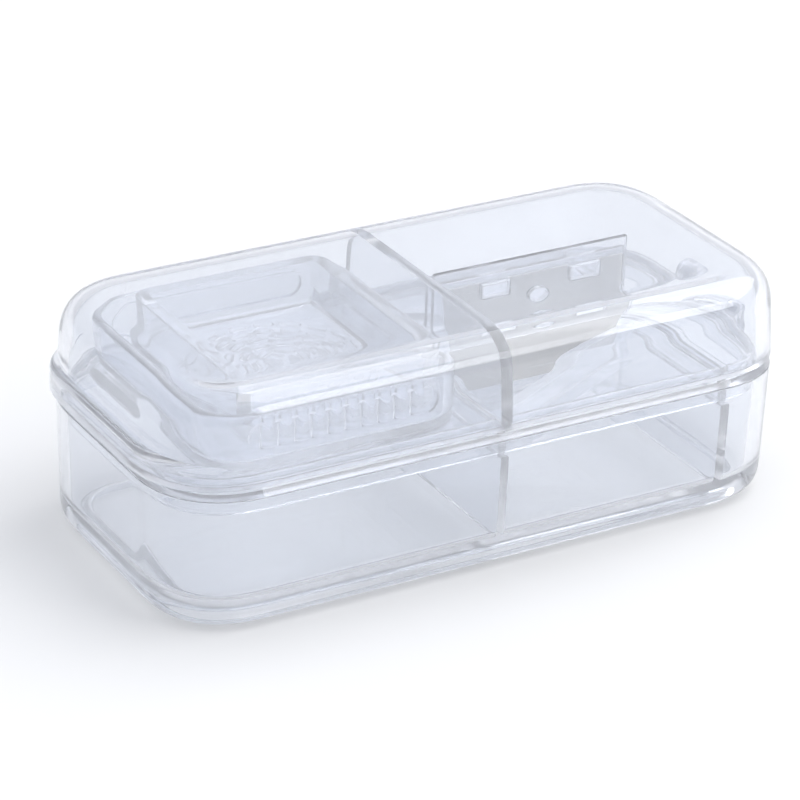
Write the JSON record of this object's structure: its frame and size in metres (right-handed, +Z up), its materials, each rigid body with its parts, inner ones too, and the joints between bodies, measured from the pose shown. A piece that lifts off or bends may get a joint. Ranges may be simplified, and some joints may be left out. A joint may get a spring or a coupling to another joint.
{
  "type": "pill splitter",
  "caption": "Clear pocket pill splitter: divided pill box, lift-out tray with V-shaped pill seat, hinged lid holding the blade, and a square cup-and-plunger grinder.",
  "frame": {"origin": "centre of the overall bounding box, at the height of the foot's underside", "axes": "+X along the length towards the hinge, +Y across the width, away from the viewer, +Z up"},
  "size_m": [0.0984, 0.0446, 0.0328],
  "materials": {
    "clear_plastic": "polished clear plastic with a faint blue-grey tint",
    "blade_steel": "ground stainless strip",
    "pin_steel": "drawn steel wire"
  },
  "bodies": {
    "base": {"base_box": "clear_plastic"},
    "tray": {"insert_tray": "clear_plastic", "hinge_pin": "pin_steel"},
    "cover": {"lid": "clear_plastic", "blade": "blade_steel", "blade_keeper": "clear_plastic"},
    "cup": {"grinder_cup": "clear_plastic"},
    "plunger": {"grinder_plunger": "clear_plastic"}
  },
  "joints": [
    {"name": "upper_lift", "type": "slide", "parent": "base", "child": "tray", "axis": [0, 0, 1], "range_m": [0, 0.03]},
    {"name": "lid_hinge", "type": "hinge", "parent": "tray", "child": "cover", "pos_m": [0.04725, 0, 0.0201], "axis": [0, 1, 0], "range_deg": [0, 110]},
    {"name": "cup_lift", "type": "slide", "parent": "tray", "child": "cup", "axis": [0, 0, 1], "range_m": [0, 0.0245]},
    {"name": "plunger_lift", "type": "slide", "parent": "cup", "child": "plunger", "axis": [0, 0, 1], "range_m": [0, 0.0205]}
  ],
  "couplings": [
    {"joint": "cup_lift", "follows": "lid_hinge", "m_per_rad": 0.0125},
    {"joint": "plunger_lift", "follows": "lid_hinge", "m_per_rad": 0.0105}
  ]
}
